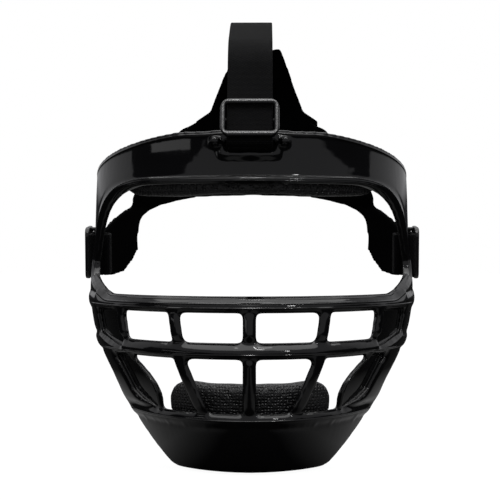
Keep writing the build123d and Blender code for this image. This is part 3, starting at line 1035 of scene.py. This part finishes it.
@dataclass
class StrapHarness:
    """The crown strap, the temple straps, their returned ends and the three slides.

    Lengths are in millimetres, but for the voxel.
    """

    wardrobe: Wardrobe
    crown_start = (0, -104.8, 57.6)
    crown_tilt = math.radians(24)
    crown_slot_depth = 12.832
    crown_over = ((0, -78.0, 116.5), (0, 2.0, 147.0), (0, 61.0, 135.2), (0, 79.1, 113.1), (0, 86.2, 99.5))
    crown_radii = (2.4, 34, 140, 40, 60)
    crown_loop_rise = 8.6
    crown_bar = (14.6, 18.2)
    crown_stretch = (3.6, 14.8)
    crown_return_radii = (1.8, 3.0, 1.8)
    side_start = (101.6, -1.4, -3.0)
    side_tilt = math.radians(5)
    side_slot_depth = 9.0
    side_round = ((0, 0), (53.4, 0), (72.0, 16.8))
    side_radii = (2.4, 22)
    side_loop_length = 12.6
    side_bar = (18.2, 22.8)
    side_stretch = (3.0, 18.0)
    side_return_radii = (1.8, 3.0, 3.0)
    loop_depth = 3.0
    bar_behind = 4.65
    slide_voxel = 0.42 * MM
    slide_corner = 6.2
    slide_angle = math.radians(14)
    slide_rings = 2
    slide_passes = 8

    def crown_run(self) -> StrapRun:
        """The crown strap's run, which leans back."""
        sine, cosine = math.sin(self.crown_tilt), math.cos(self.crown_tilt)
        return StrapRun(self.crown_start, (0, sine, cosine), (0, cosine, -sine), (1, 0, 0))

    def side_run(self, side: Side) -> StrapRun:
        """A temple strap's run, which rises to the back."""
        sine, cosine = math.sin(self.side_tilt), math.cos(self.side_tilt)
        out, forward, level = self.side_start
        start = (side.value * out, forward, level)
        return StrapRun(start, (0, cosine, sine), (-side.value, 0, 0), (0, -sine, cosine))

    def finish(
        self,
        names: tuple[str, str],
        points: list[Vector],
        radii: tuple,
        across: tuple,
        slide: str | None = None,
        lead: tuple = (),
    ) -> None:
        """Args:
            names: The piece's name, and the CAD node that it replaces.
            points: The corners of the webbing's path, in metres.
            radii: The radius at each corner between the ends, in millimetres.
            across: The direction across the webbing.
            slide: A slide's body, or None; with None the piece rides on the guard, otherwise its place is
                baked into its mesh.
            lead: Not used.
        """
        name, node = names
        ribbon = Ribbon(points, [radius * MM for radius in radii], Vector(across))
        piece = ribbon.build(name)
        length = ribbon.travelled[-1]
        self.wardrobe.stand_in(piece, node, "webbing")
        if slide is None:
            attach(piece, GUARD_BODY)
        else:
            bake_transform(piece)
        log.info("%s: %.0f mm of webbing", name, length / MM)

    def build_crown(self) -> None:
        """Make the crown strap and its returned end."""
        run = self.crown_run()
        _, front, level = self.crown_start
        slot_in = Vector((0, (front + self.crown_slot_depth) * MM, level * MM))
        over = [Vector(place) * MM for place in self.crown_over]
        names = "crown_webbing", "top_strap"
        self.finish(names, [slot_in, run.place(0, 0), *over], self.crown_radii, run.across)
        inside = slot_in + Vector((0, self.loop_depth * MM, 0))
        risen = inside + Vector((0, 0, self.crown_loop_rise * MM))
        bar = [run.place(along, self.bar_behind) for along in self.crown_bar]
        start, end = self.crown_stretch
        lead = slot_in + Vector((0, start * MM, 0)), run.place(end, self.bar_behind)
        names = "crown_return_webbing", "top_strap_return"
        points = [slot_in, inside, risen, *bar]
        self.finish(names, points, self.crown_return_radii, run.across, "crown_slide", lead)

    def build_side(self, side: Side) -> None:
        """Make one temple strap and its returned end."""
        run = self.side_run(side)
        slot_in = run.place(0, self.side_slot_depth)
        names = f"{side.word}_temple_webbing", f"{side.word}_side_strap"
        points = [slot_in, *(run.place(*spot) for spot in self.side_round)]
        self.finish(names, points, self.side_radii, run.across)
        inner = self.side_slot_depth + self.loop_depth
        loop = [run.place(along, inner) for along in (0, self.side_loop_length)]
        bar = [run.place(along, self.bar_behind) for along in self.side_bar]
        start, end = self.side_stretch
        lead = run.place(start, inner), run.place(end, self.bar_behind)
        names = f"{side.word}_return_webbing", f"{side.word}_strap_return"
        slide = f"{side.word}_temple_slide"
        self.finish(names, [slot_in, *loop, *bar], self.side_return_radii, run.across, slide, lead)

    def round_slide(self, piece: bpy.types.Object, run: StrapRun) -> None:
        """Round a slide's four outer corners.

        Args:
            piece: The slide's piece.
            run: Its strap's run.
        """
        radius = self.slide_corner * MM
        across, along = Vector(run.across), Vector(run.along)
        places = [(vert.co.dot(across), vert.co.dot(along)) for vert in piece.data.vertices]
        middle = [(min(axis) + max(axis)) / 2 for axis in zip(*places)]
        half = [(max(axis) - min(axis)) / 2 for axis in zip(*places)]
        for vert, place in zip(piece.data.vertices, places):
            beyond = [abs(place[i] - middle[i]) - (half[i] - radius) for i in (0, 1)]
            reach = math.hypot(*beyond)
            if min(beyond) > 0 and reach > radius:
                pull = radius / reach - 1
                for i, axis in enumerate((across, along)):
                    sign = math.copysign(1, place[i] - middle[i])
                    vert.co += axis * (sign * beyond[i] * pull)

    def build_slides(self) -> None:
        """Make the three slides with their rounded bars, and dress the seams."""
        for node, body, run in (
            ("top_slide", "crown_slide", self.crown_run()),
            ("left_slide", "left_temple_slide", self.side_run(Side.LEFT)),
            ("right_slide", "right_temple_slide", self.side_run(Side.RIGHT)),
        ):
            piece = even_copy(node, f"{node}_moulding", self.slide_voxel)
            self.round_slide(piece, run)
            soften_edges(piece, self.slide_angle, self.slide_rings, self.slide_passes)
            self.wardrobe.stand_in(piece, node, "slide_plastic")
            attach(piece, body)
        for place in ("crown", "left", "right"):
            self.wardrobe.dress(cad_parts[f"{place}_seam_stitches"], "thread")

    def build(self) -> None:
        """Make all the webbing."""
        self.build_crown()
        for side in Side:
            self.build_side(side)
        self.build_slides()


@dataclass
class StretchHarness:
    """The bell-shaped panel behind the head and the arm to each temple.

    Lengths and heights are in millimetres, but for the voxel.
    """

    wardrobe: Wardrobe
    voxel = 0.9 * MM
    passes = 10
    sideways = 2.6
    sideways_levels = (60, 90)
    shoulder_lift = 5.0
    shoulder_across = (0, 13)
    shoulder_levels = (108, 130)
    low_pull = 4.6
    low_centre = 9
    low_width = 15
    low_across = (-92, -68)
    high_pulls = {Side.LEFT: 6.5, Side.RIGHT: 8.5}
    high_levels = (26, 38)
    high_centre = 71
    high_width = 10
    lap = 3.2
    lap_across = (42, 52)
    lap_share = 0.9
    head_back = 34

    def hang(self, piece: bpy.types.Object) -> None:
        """Let the panel hang a little to one side, with that side's shoulder drawn up."""
        for vert in piece.data.vertices:
            level = vert.co.z / MM
            shoulder = smooth_share(vert.co.x / MM, *self.shoulder_across)
            lift = self.shoulder_lift * shoulder * smooth_share(level, *self.shoulder_levels)
            aside = self.sideways * smooth_share(level, *self.sideways_levels)
            vert.co += Vector((aside, -lift, lift)) * MM

    def draw(self, piece: bpy.types.Object, side: Side) -> None:
        """Draw an arm's cloth into its worn shape, and lap its end under the panel."""
        for vert in piece.data.vertices:
            across = side.value * vert.co.x / MM
            level = vert.co.z / MM
            low = self.low_pull * hump(level, self.low_centre, self.low_width)
            low *= smooth_share(-across, *self.low_across)
            high = self.high_pulls[side] * smooth_share(level, *self.high_levels)
            high *= hump(across, self.high_centre, self.high_width)
            under = self.lap * (1 - smooth_share(across, *self.lap_across))
            outwards = Vector((vert.co.x, vert.co.y - self.head_back * MM, 0)).normalized()
            along = Vector((-outwards.y, outwards.x, 0)) * side.value
            if along.x * side.value < 0:
                along = -along
            vert.co += along * (max(low, high) - self.lap_share * under) * MM - outwards * under * MM

    def build(self) -> None:
        """Make the panel and the arms in place of their CAD nodes."""
        for node, name, flat, area, side in (
            ("rear_yoke", "yoke_fabric", (0.092, 0.12), 0.0068, None),
            ("left_arm", "left_arm_fabric", (0.085, 0.11), 0.0029, Side.LEFT),
            ("right_arm", "right_arm_fabric", (0.085, 0.11), 0.0029, Side.RIGHT),
        ):
            piece = rounded_copy(node, name, self.voxel, self.passes)
            if side is None:
                self.hang(piece)
            else:
                self.draw(piece, side)
            self.wardrobe.stand_in(piece, node, "harness_fabric")
            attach(piece, GUARD_BODY)
            log.info("%s from %s", name, node)


@dataclass
class Padding:
    """The brow and chin pads: a foam core in a mesh-fabric cover."""

    wardrobe: Wardrobe
    cover_thickness = 0.9 * MM
    cover_voxel = 1.6 * MM
    cover_passes = 4
    core_voxel = 1.8 * MM
    core_passes = 6
    cell = 4.0 * MM
    pressure = 4.0
    last_frame = 20
    neighbours = 4
    nearness = 0.5 * MM
    inward_cap = 2.2 * MM
    form = OuterForm()

    def inflate(self, piece: bpy.types.Object) -> None:
        """Swell the cover towards the wearer, as cloth over foam does."""
        proxy = even_out(hand_over(mesh_copy(piece.data), f"{piece.name}_proxy"), self.cell)
        rest = [vert.co.copy() for vert in proxy.data.vertices]
        cloth = modify(proxy, "swell", "CLOTH")
        cloth.settings.use_pressure = True
        cloth.settings.uniform_pressure_force = self.pressure
        cloth.settings.effector_weights.gravity = 0
        cloth.point_cache.frame_start = 1
        cloth.point_cache.frame_end = self.last_frame
        for number in range(1, self.last_frame + 1):
            bpy.context.scene.frame_set(number)
        settle(proxy)
        bpy.context.scene.frame_set(1)
        tree = place_tree(rest)
        pulls = [vert.co - place for vert, place in zip(proxy.data.vertices, rest)]
        for vert in piece.data.vertices:
            near = tree.find_n(vert.co, self.neighbours)
            weights = [1 / (distance + self.nearness) for _, _, distance in near]
            pull = sum((pulls[index] * weight for (_, index, _), weight in zip(near, weights)), Vector())
            outwards = self.form.look(vert.co)[0]
            inward = -pull.dot(outwards) / sum(weights)
            vert.co -= outwards * min(self.inward_cap, max(0.0, inward))
        bpy.data.objects.remove(proxy)

    def build_pad(self, place: str) -> None:
        """Make one pad.

        Args:
            place: brow or chin.
        """
        foam = f"{place}_pad_foam"
        cover = rounded_copy(foam, f"{place}_cover_fabric", self.cover_voxel, self.cover_passes)
        modify(cover, "swell", "DISPLACE", strength=self.cover_thickness, mid_level=0)
        settle(cover)
        self.inflate(cover)
        core = rounded_copy(foam, f"{place}_foam_core", self.core_voxel, self.core_passes)
        for piece, slot in ((cover, "pad_cover"), (core, "pad_foam")):
            self.wardrobe.stand_in(piece, f"{place}_{slot}", slot)
            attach(piece, GUARD_BODY)
        self.wardrobe.dress(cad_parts[f"{place}_hook_strips"], "hook_tape")
        log.info("%s pad", place)

    def build(self) -> None:
        """Make both pads."""
        self.build_pad("brow")
        self.build_pad("chin")


# ---------------------------------------------------------------- studio


def set_up(name: str, data: bpy.types.ID, place: tuple, aim: tuple) -> bpy.types.Object:
    """Put a lamp or a camera in the scene.

    Args:
        name: Its name.
        data: The lamp's or camera's data.
        place: Where it stands.
        aim: What it points at.

    Returns:
        The new object.
    """
    made = bpy.data.objects.new(name, data)
    made.location = place
    made.rotation_euler = (Vector(aim) - Vector(place)).to_track_quat("-Z", "Y").to_euler()
    bpy.context.scene.collection.objects.link(made)
    return made


@dataclass(frozen=True)
class Softbox:
    """An area lamp: its place, its width and height in metres, its power in watts and its aim."""

    name: str
    place: tuple
    size: tuple
    power: float
    aim: tuple = (0, -0.03, 0)

    def build(self) -> None:
        """Add the lamp."""
        light = bpy.data.lights.new(self.name, "AREA")
        light.shape = "RECTANGLE"
        light.size, light.size_y = self.size
        light.energy = self.power
        set_up(self.name, light, self.place, self.aim)


class Studio:
    """The floor, the surroundings, the lamps and the camera."""

    softboxes = (
        Softbox("left_softbox", (-1.05, -0.64, 0.103), (0.70, 0.115), 0.22, (-0.055, -0.08, 0.058)),
        Softbox("top_softbox", (0.05, -0.5, 1.3), (0.5, 0.16), 1.2),
        Softbox("front_spot", (0.03, -0.8, 1.2), (0.35, 0.05), 2.0),
        Softbox("right_spot", (0.75, -1.1, 0.8), (0.10, 0.10), 1.4),
    )
    camera_place = (0.0089, -0.850, 0.0)
    camera_aim = (0.0001, -0.100, 0.0)
    lens = 97.85
    sensor_width = 36
    floor_level = -122.6 * MM
    floor_half = 6
    floor_roughness = 0.9
    floor_shade = (0.08, 0.08, 0.08)
    # painted reflection: the floor colour that glossy rays see, darker than floor_shade, so the shell
    # mirrors a darker floor
    floor_mirrored = (0.012, 0.012, 0.012)
    floor_glow = 0.95
    table_inner = 0.05
    table_inner_blur = 0.02
    table_outer = 0.15
    table_outer_blur = 0.03
    table_shine = 0.2
    room = (0.03, 0.03, 0.032)
    card = (0.36, 0.36, 0.37)
    sweep = (0.46, 0.46, 0.47)
    overhead = (2.3, 2.3, 2.3)
    card_edge = -0.535
    card_slant = -0.69
    right_edge = 0.78
    right_slant = 0.8
    card_foot = -0.03
    sweep_edge = 0.13
    sweep_foot = 0.055
    overhead_edge = 0.74
    edge_blur = 0.012

    def build_floor(self) -> None:
        """Make the plain pale floor, and the light table that only reflections see; reflections also see the
        floor painted darker than other rays see it.
        """
        bm = bmesh.new()
        bmesh.ops.create_grid(bm, x_segments=2, y_segments=2, size=self.floor_half)
        bmesh.ops.translate(bm, verts=bm.verts, vec=(0, 0, self.floor_level))
        floor = hand_over(bm, "floor")
        graph = NodeGraph(
            "pale_floor", Roughness=self.floor_roughness, Specular_IOR_Level=0.0, Emission_Color=(1, 1, 1, 1)
        )
        rays = graph.node("ShaderNodeLightPath")
        aside = graph.maths("ABSOLUTE", (graph.split("Object"), "X"))
        beyond = graph.step(aside, self.table_outer, self.table_outer_blur)
        table = graph.maths("SUBTRACT", graph.step(aside, self.table_inner, self.table_inner_blur), beyond)
        mirrored = graph.maths("MULTIPLY", table, (rays, "Is Glossy Ray"))
        shine = graph.maths("MULTIPLY", mirrored, self.table_shine)
        seen = graph.maths("MULTIPLY", (rays, "Is Camera Ray"), self.floor_glow)
        # painted reflection: glossy rays see the floor in a darker colour than other rays do
        shade = graph.pick((rays, "Is Glossy Ray"), self.floor_shade, self.floor_mirrored)
        graph.feed(shade, graph.shader, "Base Color")
        graph.feed(graph.maths("ADD", seen, shine), graph.shader, "Emission Strength")
        floor.data.materials.append(graph.material)

    def build_sky(self) -> None:
        """Make the surroundings: a white sweep behind and overhead, and a dim card in a dark front."""
        world = bpy.data.worlds.new("studio")
        bpy.context.scene.world = world
        world.use_nodes = True
        sky = NodeTree(world.node_tree)
        way = sky.split("Generated")

        def past(edge: float, axis: str, slant: float = 0.0) -> bpy.types.Node:
            """1 where the view direction is past an edge, which may slant."""
            place = sky.maths("SUBTRACT", (way, axis), sky.maths("MULTIPLY", (way, "Z"), slant))
            return sky.step(place, edge, self.edge_blur)

        right = sky.pick(past(self.right_edge, "X", self.right_slant), self.card, self.room)
        card = sky.pick(past(self.card_edge, "X", self.card_slant), self.room, right)
        front = sky.pick(past(self.card_foot, "Z"), self.room, card)
        rear = sky.pick(past(self.sweep_foot, "Z"), self.room, self.sweep)
        behind = sky.pick(past(self.sweep_edge, "Y"), front, rear)
        around = sky.pick(past(self.overhead_edge, "Z"), behind, self.overhead)
        seen = sky.pick((sky.node("ShaderNodeLightPath"), "Is Camera Ray"), around, (1, 1, 1))
        background = sky.node("ShaderNodeBackground")
        sky.feed(seen, background, "Color")
        sky.feed(background, sky.node("ShaderNodeOutputWorld"), "Surface")

    def build_camera(self) -> None:
        """Add the camera at the photograph's angle."""
        camera = bpy.data.cameras.new("camera")
        camera.lens = self.lens
        camera.sensor_width = self.sensor_width
        bpy.context.scene.camera = set_up("camera", camera, self.camera_place, self.camera_aim)

    def build(self) -> None:
        """Set the whole studio up."""
        bpy.context.scene.view_settings.view_transform = "Standard"
        self.build_floor()
        self.build_sky()
        for softbox in self.softboxes:
            softbox.build()
        self.build_camera()


def main() -> None:
    """Build the guard's looks and the studio."""
    logging.basicConfig(level=logging.INFO, format="%(name)s: %(message)s")
    wardrobe = Wardrobe()
    Studio().build()
    Moulding(wardrobe).build()
    StrapHarness(wardrobe).build()
    StretchHarness(wardrobe).build()
    Padding(wardrobe).build()


if __name__ == "__main__":
    main()
